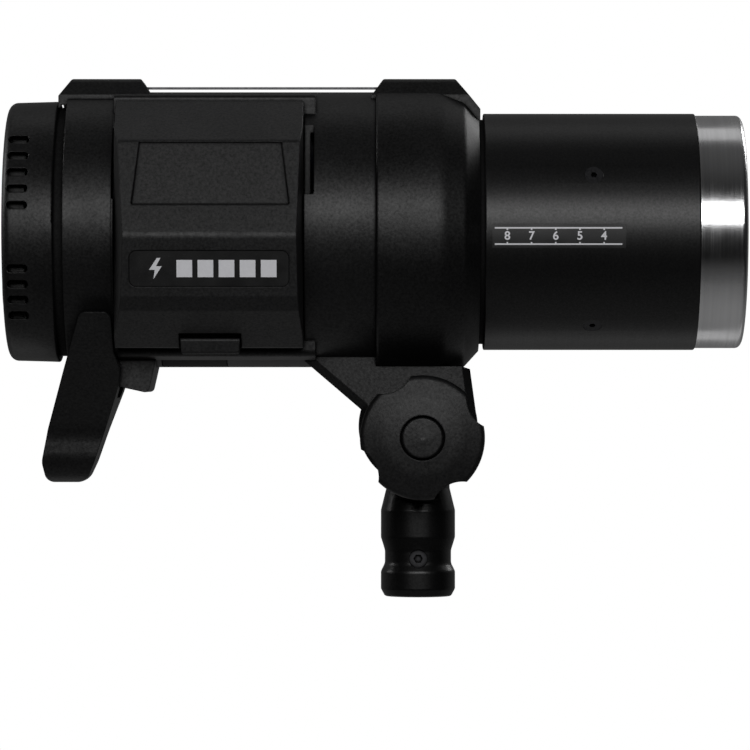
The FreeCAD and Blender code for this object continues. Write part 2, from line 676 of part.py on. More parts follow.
def control_dial():
    body = turned([(PANEL_REAR_X - 0.2, 0), (PANEL_REAR_X - 0.2, DIAL_R, 0.6),
                   (DIAL_REAR_X, DIAL_R - 0.6, 1.4), (DIAL_REAR_X, 0)])
    body.translate(V(0, 0, DIAL_Z))
    body = fuse_all([body, rod_x(3.0, PANEL_REAR_X - 1, -160.5, 0, DIAL_Z)])
    spots = ring_spots(DIAL_R + 0.25, range(0, 360, 15))
    flutes = [rod_x(0.9, -190, PANEL_REAR_X - 1.4, y, DIAL_Z + z) for y, z in spots]
    return cut_all(body, [rod_x(6.3, -190, DIAL_REAR_X + 3.6, 0, DIAL_Z)] + flutes)


def set_button():
    button = turned([(DIAL_REAR_X + 2.1, 0), (DIAL_REAR_X + 2.1, 6.0), (DIAL_REAR_X - 0.4, 6.0, 0.7),
                     (DIAL_REAR_X - 0.5, 0)])
    button.translate(V(0, 0, DIAL_Z))
    return button


def side_button(side):
    y = side * SIDE_BUTTON_Y
    cap = rod_x(SIDE_BUTTON_R, PANEL_REAR_X - KEY_PROUD, PANEL_FRONT_X + 1.5, y, SIDE_BUTTON_Z)
    flange = rod_x(SIDE_BUTTON_R + 1.2, PANEL_FRONT_X + GAP, PANEL_FRONT_X + 1.5, y, SIDE_BUTTON_Z)
    stem = rod_x(1.5, PANEL_REAR_X, KEY_END_X, y, SIDE_BUTTON_Z)
    return fuse_all([cap, flange, stem])


def soft_key(side):
    y = side * SOFT_KEY_Y
    face = plate_yz(soft_key_outline(side, 0), PANEL_REAR_X - KEY_PROUD + 0.6, PANEL_FRONT_X + 1.5)
    rim = box_corners(y - 8, y + 8, SOFT_KEY_Z - 3.4, SOFT_KEY_Z + 3.4, 1.0)
    flange = plate_yz(rim, PANEL_FRONT_X + GAP, PANEL_FRONT_X + 1.5)
    stem = rod_x(1.5, PANEL_REAR_X, KEY_END_X, y, SOFT_KEY_Z)
    return fuse_all([face, flange, stem])


# ---------------------------------------------------------------- battery
def battery_outline(inset):
    """Section of the battery, inset evenly enough for a moulded wall."""
    return [(BAY_WALL_Y - GAP, BATTERY_TOP - inset, 1.5), (-65.0 + 0.7 * inset, 35.6 - 0.75 * inset, 3),
            (BATTERY_OUT_Y + inset, -3.6, 5), (-73.6 + inset, -29.0, 3),
            (-69.6 + 0.6 * inset, -34.4 + 0.5 * inset, 3), (-49.0, BATTERY_LOW + inset, 2),
            (BAY_WALL_Y - GAP, BATTERY_LOW + inset, 0.5)]


def battery_plan(inset):
    """Plan of the battery: straight near the bay, drawn in towards the outer face."""
    rear, front = BATTERY_REAR_X + inset, BATTERY_FRONT_X - inset
    out = BATTERY_OUT_Y - 1 + inset
    return [(rear, -30), (rear, -56.0, 4), (-121.0 + inset, out), (-50.4 - inset, out), (front, -56.0, 4),
            (front, -30)]


def battery_block(inset):
    return plate_yz(battery_outline(inset), -130, -40).common(plate_xy(battery_plan(inset), 90, 220))


def grip_recess():
    """Finger recess: flush with the face at its top and deepest at the step along its lower edge."""
    floor = [(-64.2, GRIP_TOP + 0.6), (-76.6 + GRIP_DEPTH, GRIP_LOW, 1.2), (-90, GRIP_LOW),
             (-90, GRIP_TOP + 0.6)]
    face_on = [(-119.4, AXIS_Z + GRIP_TOP + 2), (-51.4, AXIS_Z + GRIP_TOP + 2),
               (-53.0, AXIS_Z + GRIP_LOW - 0.5, 2.0), (-118.0, AXIS_Z + GRIP_LOW - 0.5, 2.0)]
    drafted = [(-119.4, -90), (-119.4, -78.0), (-114.6, -64.0), (-56.8, -64.0), (-51.4, -78.0), (-51.4, -90)]
    return plate_yz(floor, -125, -48).common(plate_xz(face_on, -100, -50)).common(plate_xy(drafted, 150, 210))


def label_recess(inset, depth):
    """Rounded pad sunk by a depth into the facet below the crease."""
    pad = plate_xz(box_corners(-118.6 + inset, -53.2 - inset, AXIS_Z - 24.6 + inset, AXIS_Z - 9.8 - inset,
                               3.0 - inset), -90, -70)
    return pad.common(label_facet(depth, -90))


def label_facet(depth, y_far):
    """Everything beyond the label's facet, moved inward by a depth."""
    face = [(BATTERY_OUT_Y + depth, -3.6), (-73.6 + depth, -29.0), (y_far, -29.0), (y_far, -3.6)]
    return plate_yz(face, -125, -48)


def battery_case():
    shell = battery_block(0).cut(battery_block(2.4))
    back = lamp_block(-130, -40, BAY_WALL_Y - GAP - 2.7, -20, -60, 60)
    thick = lamp_block(-121.5, -50.0, -80, -66.0, GRIP_LOW - 3.2, GRIP_TOP).common(battery_block(0))
    pad_back = lamp_block(-121.5, -50.0, -80, -68.6, -27.6, -6.8).common(battery_block(0))
    latch_space = lamp_block(LATCH_REAR_X - 0.5, LATCH_FRONT_X + 0.5, -60, -43.4, -60, -43.4)
    latch_frame = lamp_block(LATCH_REAR_X - 2.5, LATCH_FRONT_X + 2.5, -62, -41.4, -60, -41.4)
    latch_frame = latch_frame.common(battery_block(0))
    body = fuse_all([shell, thick, pad_back, latch_frame])
    return cut_all(body, [back, grip_recess(), label_recess(0, 0.8), latch_space])


def battery_base():
    body = lamp_block(-130, -40, BAY_WALL_Y - GAP - 2.7, BAY_WALL_Y - GAP, -60, 60).common(battery_block(0))
    return cut_all(body, [lamp_block(-92.6, -83.4, -40, -30, z - 1.1, z + 1.1) for z in CONTACT_LEVELS])


def battery_contacts():
    clips = []
    for z in CONTACT_LEVELS:
        for side in (-1, 1):
            low, high = sorted((z + side * 0.85, z + side * 1.25))
            clips.append(lamp_block(-91.5, -84.5, -42.5, -37.0, low, high))
    return Part.makeCompound(clips)


def battery_cells():
    return Part.makeCompound([rod_x(9.1, -121.0, -56.0, -53.0, z) for z in CELL_LEVELS])


def battery_board():
    return lamp_block(-120.0, -56.0, -41.6, -40.2, -15.0, 30.0)


def battery_label():
    return label_recess(0.25, 0.8).common(label_facet(0.35, -60))


def battery_latch():
    """Wide push-up latch in the lower edge of the battery."""
    side_view = [(-44.0, -45.4), (-54.6, -45.4, 1), (-53.4, -52.0, 1.5), (-44.0, -52.0, 0.8)]
    front_view = [(LATCH_REAR_X, AXIS_Z - 44.0), (LATCH_REAR_X + 0.6, AXIS_Z - 52.6, 2),
                  (LATCH_FRONT_X - 0.6, AXIS_Z - 52.6, 2), (LATCH_FRONT_X, AXIS_Z - 44.0)]
    return plate_yz(side_view, -105, -65).common(plate_xz(front_view, -60, -40))


# ---------------------------------------------------------------- carrying handle
def mount_block():
    outline = [(-142.0, 104.0), (-141.2, 92.2, 3), (-113.1, 86.0, 2), (-109.0, 104.0)]
    return plate_xz(outline, -MOUNT_HALF_Y, MOUNT_HALF_Y)


def carry_handle():
    """Solid grip that forks upward into two arms, which hold the sides of the rear collar."""
    side_view = plate_xz([
        (-140.0, HANDLE_TOP_Z, 3), (-147.6, 96.6, 10), (-155.6, 71.0, 20), (-158.4, 57.0, 8),
        (-156.6, HANDLE_LOW_Z, 4), (-140.0, HANDLE_LOW_Z, 6), (-136.2, 57.0, 8), (-125.2, 88.8, 20),
        (-124.6, 97.0, 4), (-126.8, 103.0, 4), (-127.4, HANDLE_TOP_Z, 3)], -60, 60)
    top, fork = HANDLE_TOP_Z - AXIS_Z, 84.0 - AXIS_Z
    outer = [(-54.0, top), (-16.4, 70.0 - AXIS_Z, 14), (-16.0, HANDLE_LOW_Z - AXIS_Z, 13),
             (16.0, HANDLE_LOW_Z - AXIS_Z, 13), (16.4, 70.0 - AXIS_Z, 14), (54.0, top)]
    inner = [(-43.0, top + 1), (-13.0, fork, 8), (13.0, fork, 8), (43.0, top + 1)]
    body = side_view.common(plate_yz(outer, -170, -110)).cut(plate_yz(inner, -175, -105))
    return cut_all(body, [casing_round(CASING_R, -170, -100), mount_block(), bay_shelf()])


def handle_mount():
    body = cut_all(mount_block(), [casing_round(CASING_R, -170, -100), bay_shelf()])
    return cut_all(body, [handle_screw(side, 0.1, 80.0) for side in (-1, 1)])


def handle_screw(side, grow, head_low):
    """Screw up through the mount, head first; grow turns it into its own hole."""
    y = side * HANDLE_SCREW_Y
    head = rod_z(3.2 + grow, head_low, 93.6 + grow, HANDLE_SCREW_X, y)
    return fuse_all([head, rod_z(1.6 + grow, 93.0, 98.0 + 20 * grow, HANDLE_SCREW_X, y)])


def handle_screws():
    return Part.makeCompound([handle_screw(side, 0.0, 90.6).cut(rod_z(1.5, 90.0, 92.2, HANDLE_SCREW_X, y))
                              for side, y in ((-1, -HANDLE_SCREW_Y), (1, HANDLE_SCREW_Y))])


# ---------------------------------------------------------------- write every node
def main():
    os.makedirs("parts", exist_ok=True)
    save("stand_adapter", stand_adapter())
    save("grub_screw", grub_screw())
    save("friction_discs", friction_discs(), 2)
    save("clamp_shoe", clamp_shoe())
    save("lock_stem", lock_stem())
    save("lock_knob", lock_knob())
    save("tilt_bracket", tilt_bracket())
    save("clamp_nut", clamp_nut())
    save("pressure_washer", pressure_washer())
    save("tilt_bolt", tilt_bolt())
    save("tilt_knob", tilt_knob())
    save("tilt_knob_cap", tilt_knob_cap())
    save("rear_cap", rear_cap())
    save("cap_spigot", cap_spigot())
    save("rear_collar", rear_collar())
    save("body_casing", body_casing())
    save("belly_panel", belly_panel())
    save("port_cover", port_cover())
    save("usb_socket", usb_socket())
    save("sync_socket", sync_socket())
    save("top_strap", top_strap())
    save("front_collar", front_collar())
    save("neck_ring", neck_ring())
    save("front_tube", front_tube())
    save("scale_plate", scale_plate())
    save("tube_screws", tube_screws(), 4)
    save("lamp_bulkhead", lamp_bulkhead())
    save("front_ring", front_ring())
    save("front_glass", front_glass())
    save("reflector_dish", reflector_dish())
    save("flashtube", flashtube())
    save("modelling_led", modelling_led())
    save("led_heatsink", led_heatsink())
    save("flash_capacitors", flash_capacitors(), len(CAPACITOR_CENTRES))
    save("main_board", main_board())
    save("charging_transformer", charging_transformer())
    save("body_contacts", body_contacts(), 3)
    save("fan_frame", fan_frame())
    save("fan_rotor", fan_rotor())
    save("rear_panel", rear_panel())
    save("rear_screws", rear_screws(), 3)
    save("display_window", display_window())
    save("display_module", display_module())
    save("control_board", control_board())
    save("control_dial", control_dial())
    save("set_button", set_button())
    save("power_button", side_button(-1))
    save("test_button", side_button(1))
    save("soft_key_right", soft_key(-1))
    save("soft_key_left", soft_key(1))
    save("battery_case", battery_case())
    save("battery_base", battery_base())
    save("battery_contacts", battery_contacts(), 6)
    save("battery_cells", battery_cells(), 4)
    save("battery_board", battery_board())
    save("battery_label", battery_label())
    save("battery_latch", battery_latch())
    save("carry_handle", carry_handle())
    save("handle_mount", handle_mount())
    save("handle_screws", handle_screws(), 2)


main()
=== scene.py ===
import json
import math

import bmesh
import bpy
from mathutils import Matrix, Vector


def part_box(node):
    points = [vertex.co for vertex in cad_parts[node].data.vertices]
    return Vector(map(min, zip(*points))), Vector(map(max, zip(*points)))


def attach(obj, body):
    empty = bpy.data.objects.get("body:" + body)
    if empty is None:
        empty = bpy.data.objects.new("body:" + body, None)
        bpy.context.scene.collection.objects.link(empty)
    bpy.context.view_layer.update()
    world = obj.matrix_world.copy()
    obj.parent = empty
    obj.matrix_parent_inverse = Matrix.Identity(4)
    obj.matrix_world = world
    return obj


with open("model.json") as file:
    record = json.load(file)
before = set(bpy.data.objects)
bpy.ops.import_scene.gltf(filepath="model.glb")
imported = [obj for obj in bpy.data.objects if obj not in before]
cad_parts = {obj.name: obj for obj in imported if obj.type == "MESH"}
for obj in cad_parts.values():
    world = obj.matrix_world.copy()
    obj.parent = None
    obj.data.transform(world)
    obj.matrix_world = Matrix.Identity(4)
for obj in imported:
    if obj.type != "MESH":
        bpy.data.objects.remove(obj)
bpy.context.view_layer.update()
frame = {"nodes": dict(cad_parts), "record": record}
NODES = frame["nodes"]
MM = 0.001
SCENE = bpy.context.scene

# ---------------------------------------------------------------- places worked out from the frame
TUBE_LOW, TUBE_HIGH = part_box("front_tube")
RING_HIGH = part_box("front_ring")[1]
CAP_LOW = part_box("rear_cap")[0]
PLATE_LOW, PLATE_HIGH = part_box("scale_plate")
LABEL_LOW, LABEL_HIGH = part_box("battery_label")
PANEL_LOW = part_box("rear_panel")[0]
AXIS_Z = (TUBE_LOW.z + TUBE_HIGH.z) / 2
TUBE_R = (TUBE_HIGH.z - TUBE_LOW.z) / 2
VIEW_WIDTH = 0.3178               # width of the picture at the lamp axis
VIEW_DISTANCE = 2.0
VIEW_CENTRE = Vector(((CAP_LOW.x + RING_HIGH.x) / 2 - 0.0001, 0.0, 0.0936))
FLOOR_Z = -2.60                   # far below, so that a view from underneath stays clear of it
FLOOR_R = 2.2

# Brightness of the surroundings, added together: (direction from -1 to 1, level).
WORLD_BY_DEPTH = ((-1.0, 0.004), (0.0, 0.01), (0.45, 0.1), (1.0, 0.12))
WORLD_BY_HEIGHT = ((-1.0, 0.3), (-0.8, 0.08), (-0.45, 0.0), (0.6, 0.0), (1.0, 0.05))

# Printed marks: the zoom scale, whose levels are measured from the lamp axis.
INK = 0.05 * MM
PRINT_GAP = 0.01 * MM             # between a surface and the ink on it
SCALE_R = TUBE_R - 0.25 * MM
SCALE_LOW_X = PLATE_LOW.x + 1.0 * MM
SCALE_HIGH_X = PLATE_HIGH.x - 1.6 * MM
SCALE_NUMBERS = "87654"
SCALE_FIRST_X = 36.5 * MM
SCALE_STEP = 10.0 * MM
SCALE_LINE_TOP = 0.2 * MM
SCALE_LINE_LOW = -6.5 * MM
SCALE_HALF_LINE = 0.32 * MM
SCALE_TICK = 0.55 * MM
NUMBER_HEIGHT = 3.4 * MM

# Printed marks: the battery label and the rear panel.
LABEL_LEAN = 4.9 / 25.4           # how far the facet runs inward for each unit it drops
LABEL_BOLT_X = LABEL_LOW.x + 10.6 * MM
LABEL_BOLT_SIZE = (4.2 * MM, 4.3 * MM)
BAR_COUNT = 5
BAR_FIRST_X = LABEL_LOW.x + 19.2 * MM
BAR_STEP = 8.6 * MM
BAR_WIDTH = 6.4 * MM
BAR_HALF_HEIGHT = 3.5 * MM
BUTTON_SIDE = 24.5 * MM           # of the power and test buttons, either side of the middle
SIGN_LEVEL = -26.0 * MM
POWER_INNER_R = 1.25 * MM
POWER_OUTER_R = 1.65 * MM
POWER_START = 130                 # the broken ring of the power sign, in degrees
POWER_SWEEP = 280
POWER_STEPS = 14
TEST_BOLT_SIZE = 1.9 * MM
BOLT = ((0.14, 1.0), (-0.62, -0.12), (-0.06, -0.12), (-0.2, -1.0),
        (0.62, 0.22), (0.06, 0.22), (0.5, 1.0))


# ---------------------------------------------------------------- camera, floor and light
def make_camera():
    camera = bpy.data.cameras.new("camera")
    camera.sensor_width = 36.0
    camera.lens = camera.sensor_width * VIEW_DISTANCE / VIEW_WIDTH
    camera.clip_end = 200.0
    holder = bpy.data.objects.new("camera", camera)
    SCENE.collection.objects.link(holder)
    holder.location = VIEW_CENTRE - Vector((0, VIEW_DISTANCE, 0))
    holder.rotation_euler = (math.radians(90), 0, 0)
    SCENE.camera = holder


def area_light(name, place, target, width, height, power):
    light = bpy.data.lights.new(name, "AREA")
    light.shape = "RECTANGLE"
    light.size = width
    light.size_y = height
    light.energy = power
    holder = bpy.data.objects.new(name, light)
    SCENE.collection.objects.link(holder)
    holder.location = place
    holder.rotation_euler = (Vector(target) - Vector(place)).to_track_quat("-Z", "Y").to_euler()
    return holder


def make_lights():
    centre = Vector((0, 0, AXIS_Z))
    area_light("key_softbox", centre + Vector((0.0, -1.5, 0.45)), centre, 1.5, 0.5, 11.5)
    area_light("top_softbox", centre + Vector((0.0, 0.55, 1.45)), centre, 1.6, 0.6, 1.0)
    area_light("low_fill", centre + Vector((0.0, 0.7, -1.0)), centre, 1.6, 0.4, 0.5)
    area_light("rear_softbox", centre + Vector((-1.7, 0.3, 0.7)), centre, 0.5, 0.9, 9.0)
    area_light("far_softbox", centre + Vector((1.2, 1.2, 0.9)), centre, 0.5, 0.9, 7.0)


def make_world():
    """White behind the object; other rays see a dark front, a dim top and a brighter low back."""
    world = bpy.data.worlds.new("studio")
    SCENE.world = world
    world.use_nodes = True
    tree = world.node_tree
    tree.nodes.clear()

    def node(kind):
        return tree.nodes.new("ShaderNode" + kind)

    def graded(value, stops):
        scale = node("MapRange")
        scale.inputs["From Min"].default_value = -1.0
        scale.inputs["From Max"].default_value = 1.0
        tree.links.new(value, scale.inputs["Value"])
        ramp = node("ValToRGB")
        marks = ramp.color_ramp.elements
        while len(marks) < len(stops):
            marks.new(0.5)
        for mark, (place, level) in zip(marks, stops):
            mark.position = (place + 1) / 2
            mark.color = (level, level, level, 1)
        tree.links.new(scale.outputs["Result"], ramp.inputs["Fac"])
        return ramp.outputs["Color"]

    coords = node("TexCoord")
    split = node("SeparateXYZ")
    tree.links.new(coords.outputs["Generated"], split.inputs[0])
    depth = graded(split.outputs["Y"], WORLD_BY_DEPTH)
    height = graded(split.outputs["Z"], WORLD_BY_HEIGHT)
    both = node("VectorMath")
    both.operation = "ADD"
    tree.links.new(depth, both.inputs[0])
    tree.links.new(height, both.inputs[1])
    lit = node("Background")
    tree.links.new(both.outputs[0], lit.inputs["Color"])
    seen = node("Background")
    seen.inputs["Color"].default_value = (1, 1, 1, 1)
    path = node("LightPath")
    mix = node("MixShader")
    output = node("OutputWorld")
    tree.links.new(path.outputs["Is Camera Ray"], mix.inputs["Fac"])
    tree.links.new(lit.outputs[0], mix.inputs[1])
    tree.links.new(seen.outputs[0], mix.inputs[2])
    tree.links.new(mix.outputs[0], output.inputs["Surface"])


def make_floor():
    bm = bmesh.new()
    bmesh.ops.create_circle(bm, cap_ends=True, segments=96, radius=FLOOR_R)
    mesh = bpy.data.meshes.new("floor")
    bm.to_mesh(mesh)
    bm.free()
    floor = bpy.data.objects.new("floor", mesh)
    SCENE.collection.objects.link(floor)
    floor.location = (0, 0, FLOOR_Z)
    material = bpy.data.materials.new("pale_floor")
    material.use_nodes = True
    shader = material.node_tree.nodes["Principled BSDF"]
    shader.inputs["Base Color"].default_value = (0.9, 0.9, 0.9, 1)
    shader.inputs["Roughness"].default_value = 0.8
    mesh.materials.append(material)


# ---------------------------------------------------------------- materials
class Nodes:
    """Short way to build one procedural material."""

    def __init__(self, name):
        self.material = bpy.data.materials.new(name)
        self.material.use_nodes = True
        self.tree = self.material.node_tree
        self.shader = self.tree.nodes["Principled BSDF"]
        self.place = self.add("TexCoord").outputs["Object"]

    def add(self, kind, **values):
        node = self.tree.nodes.new("ShaderNode" + kind)
        for key, value in values.items():
            setattr(node, key, value)
        return node

    def link(self, start, end):
        self.tree.links.new(start, end)

    def stretched(self, x, y, z):
        mapping = self.add("Mapping")
        mapping.inputs["Scale"].default_value = (x, y, z)
        self.link(self.place, mapping.inputs["Vector"])
        return mapping.outputs["Vector"]

    def noise(self, scale, detail=3.0, rough=0.55, vector=None):
        node = self.add("TexNoise")
        node.inputs["Scale"].default_value = scale
        node.inputs["Detail"].default_value = detail
        node.inputs["Roughness"].default_value = rough
        self.link(vector or self.place, node.inputs["Vector"])
        return node.outputs["Fac"]

    def cells(self, scale, vector=None):
        node = self.add("TexVoronoi")
        node.inputs["Scale"].default_value = scale
        self.link(vector or self.place, node.inputs["Vector"])
        return node.outputs["Distance"]

    def mapped(self, value, from_low, from_high, to_low, to_high):
        node = self.add("MapRange")
        limits = {"From Min": from_low, "From Max": from_high, "To Min": to_low, "To Max": to_high}
        for key, number in limits.items():
            node.inputs[key].default_value = number
        self.link(value, node.inputs["Value"])
        return node.outputs["Result"]

    def blend_colours(self, factor, first, second):
        node = self.add("Mix", data_type="RGBA")
        self.link(factor, node.inputs["Factor"])
        for key, colour in (("A", first), ("B", second)):
            socket = [s for s in node.inputs if s.name == key and s.type == "RGBA"][0]
            if isinstance(colour, tuple):
                socket.default_value = colour + (1.0,)
            else:
                self.link(colour, socket)
        return [s for s in node.outputs if s.type == "RGBA"][0]

    def arithmetic(self, operation, first, second):
        node = self.add("Math", operation=operation)
        for slot, value in zip(node.inputs, (first, second)):
            if isinstance(value, (int, float)):
                slot.default_value = value
            else:
                self.link(value, slot)
        return node.outputs[0]

    def blend_values(self, first, second):
        """Mean of two values."""
        return self.arithmetic("MULTIPLY", self.arithmetic("ADD", first, second), 0.5)

    def bump(self, height, distance, strength=1.0, normal=None):
        node = self.add("Bump")
        node.inputs["Distance"].default_value = distance
        node.inputs["Strength"].default_value = strength
        self.link(height, node.inputs["Height"])
        if normal:
            self.link(normal, node.inputs["Normal"])
        return node.outputs["Normal"]

    def worn_edges(self, low=0.53, high=0.62):
        """0 on flats and 1 along convex edges."""
        geometry = self.add("NewGeometry")
        return self.mapped(geometry.outputs["Pointiness"], low, high, 0.0, 1.0)

    def painted_crevice_shade(self, reach=1.6):
        """Painted shade: 1 in the open, falling to 0 in narrow gaps, from ambient occlusion within
        reach.
        """
        node = self.add("AmbientOcclusion", samples=6)
        node.inputs["Distance"].default_value = reach * MM
        return self.mapped(node.outputs["AO"], 0.55, 0.93, 0.0, 1.0)

    def set(self, key, value):
        self.shader.inputs[key].default_value = value

    def feed(self, key, value):
        self.link(value, self.shader.inputs[key])


def grey(value):
    return (value, value, value * 1.04)


def soft_edges(n, radius):
    """Normal that rounds sharp edges a little, as a moulding or a blasted casting has them."""
    node = n.add("Bevel", samples=4)
    node.inputs["Radius"].default_value = radius * MM
    return node.outputs["Normal"]


def moulded(name, shade, roughness=0.44, grain=0.022, pitch=2600, specular=0.36, edge=0.7):
    """Spark-textured moulding: fine pits, slight colour drift, rubbed edges."""
    n = Nodes(name)
    drift = n.noise(38, 4)
    grain_noise = n.noise(pitch, 2, 0.6)
    pits = n.cells(pitch * 0.8)
    base = n.blend_colours(drift, grey(shade * 0.8), grey(shade * 1.25))
    speck = n.mapped(grain_noise, 0.35, 0.75, 0.0, 1.0)
    coloured = n.blend_colours(n.arithmetic("MULTIPLY", speck, 0.5), base, grey(shade * 1.9))
    rubbed = n.arithmetic("MULTIPLY", n.worn_edges(), 0.35)
    n.feed("Base Color", n.blend_colours(rubbed, coloured, grey(shade * 3.0)))
    mottle = n.noise(900, 3, 0.7)
    wander = n.arithmetic("ADD", drift, n.blend_values(grain_noise, mottle))
    n.feed("Roughness", n.mapped(wander, 0.6, 1.4, roughness - 0.09, roughness + 0.1))
    fine = n.bump(pits, grain * MM, 0.6, soft_edges(n, edge))
    n.feed("Normal", n.bump(grain_noise, grain * MM, 0.8, fine))
    # painted shade: specular level lowered in narrow gaps by ambient occlusion
    crevice_shaded_sheen = n.mapped(n.painted_crevice_shade(), 0.0, 1.0, 0.03, specular)
    uneven = n.mapped(mottle, 0.3, 0.7, 0.55, 1.45)
    n.feed("Specular IOR Level", n.arithmetic("MULTIPLY", crevice_shaded_sheen, uneven))
    return n.material


def anodised(name, shade, roughness=0.36):
    """Bead-blasted black anodising with faint turning marks round the tube."""
    n = Nodes(name)
    blast = n.noise(4200, 2)
    lathe = n.noise(1.0, 2, 0.5, n.stretched(5200, 6, 6))
    drift = n.noise(22, 3)
    base = n.blend_colours(drift, grey(shade * 0.85), grey(shade * 1.15))
    rubbed = n.arithmetic("MULTIPLY", n.worn_edges(), 0.5)
    n.feed("Base Color", n.blend_colours(rubbed, base, grey(shade * 5)))
    wander = n.arithmetic("ADD", blast, lathe)
    n.feed("Roughness", n.mapped(wander, 0.6, 1.4, roughness - 0.05, roughness + 0.06))
    fine = n.bump(blast, 0.02 * MM, 0.6)
    n.feed("Normal", n.bump(lathe, 0.01 * MM, 0.5, fine))
    # painted shade: specular level lowered in narrow gaps by ambient occlusion
    crevice_shaded_sheen = n.mapped(n.painted_crevice_shade(), 0.0, 1.0, 0.03, 0.42)
    uneven = n.mapped(n.noise(1100, 3, 0.7), 0.3, 0.7, 0.75, 1.25)
    n.feed("Specular IOR Level", n.arithmetic("MULTIPLY", crevice_shaded_sheen, uneven))
    return n.material


def turned_metal(name, colour, roughness, lathe_depth=0.02):
    """Machined metal turned about the lamp axis."""
    n = Nodes(name)
    rings = n.noise(1.0, 3, 0.6, n.stretched(3800, 5, 5))
    wide_rings = n.noise(1.0, 2, 0.5, n.stretched(420, 3, 3))
    smear = n.noise(60, 3)
    darker = tuple(c * 0.86 for c in colour)
    turning = n.mapped(n.arithmetic("ADD", rings, wide_rings), 0.7, 1.3, 0.0, 1.0)
    n.feed("Base Color", n.blend_colours(turning, darker, colour))
    wander = n.arithmetic("ADD", rings, smear)
    n.feed("Roughness", n.mapped(wander, 0.6, 1.4, roughness - 0.06, roughness + 0.08))
    n.feed("Normal", n.bump(rings, lathe_depth * MM, 0.7))
    n.set("Metallic", 1.0)
    n.set("Anisotropic", 0.5)
    return n.material


def plain_metal(name, colour, roughness=0.3, scale=900):
    n = Nodes(name)
    scratch = n.noise(1.0, 3, 0.6, n.stretched(scale, scale * 0.1, scale))
    spots = n.noise(scale, 3)
    darker = tuple(c * 0.8 for c in colour)
    clean = n.blend_colours(spots, darker, colour)
    # painted shade: base colour darkened towards black in narrow gaps by ambient occlusion
    n.feed("Base Color", n.blend_colours(n.painted_crevice_shade(), grey(0.002), clean))
    n.feed("Roughness", n.mapped(scratch, 0.3, 0.7, roughness - 0.08, roughness + 0.12))
    n.feed("Normal", n.bump(scratch, 0.015 * MM, 0.5))
    n.set("Metallic", 1.0)
    return n.material


def lacquered(name, shade, roughness=0.3, colour=None):
    """Smooth moulded or lacquered surface with faint dust and handling marks."""
    n = Nodes(name)
    tone = colour or grey(shade)
    smear = n.noise(90, 4)
    dust = n.mapped(n.noise(2200, 2), 0.62, 0.8, 0.0, 1.0)
    base = n.blend_colours(smear, tuple(c * 0.9 for c in tone), tuple(c * 1.12 for c in tone))
    n.feed("Base Color", n.blend_colours(n.arithmetic("MULTIPLY", dust, 0.2), base, grey(0.18)))
    n.feed("Roughness", n.mapped(smear, 0.3, 0.7, roughness - 0.05, roughness + 0.08))
    n.feed("Normal", n.bump(smear, 0.03 * MM, 0.3))
    return n.material


def clear_glass(name, tint, roughness, bump_depth=0.0):
    n = Nodes(name)
    smear = n.noise(120, 3)
    n.feed("Base Color", n.blend_colours(smear, tuple(c * 0.96 for c in tint), tint))
    n.feed("Roughness", n.mapped(smear, 0.3, 0.7, roughness, roughness + 0.05))
    n.set("Transmission Weight", 1.0)
    n.set("IOR", 1.5)
    if bump_depth:
        n.feed("Normal", n.bump(n.noise(1500, 3), bump_depth * MM, 0.8))
    return n.material


def printed(name, shade):
    """Screen-printed ink: slightly uneven and thin in places."""
    n = Nodes(name)
    patchy = n.noise(700, 4, 0.6)
    n.feed("Base Color", n.blend_colours(patchy, grey(shade * 0.86), grey(shade)))
    n.feed("Roughness", n.mapped(patchy, 0.3, 0.7, 0.5, 0.62))
    n.feed("Normal", n.bump(patchy, 0.01 * MM, 0.6))
    return n.material


def circuit_board(name):
    n = Nodes(name)
    tracks = n.add("TexBrick")
    tracks.inputs["Scale"].default_value = 180
    tracks.inputs["Mortar Size"].default_value = 0.03
    n.link(n.place, tracks.inputs["Vector"])
    n.feed("Base Color", n.blend_colours(tracks.outputs["Fac"], (0.02, 0.14, 0.06), (0.05, 0.24, 0.1)))
    n.feed("Roughness", n.mapped(n.noise(400), 0.3, 0.7, 0.3, 0.45))
    return n.material


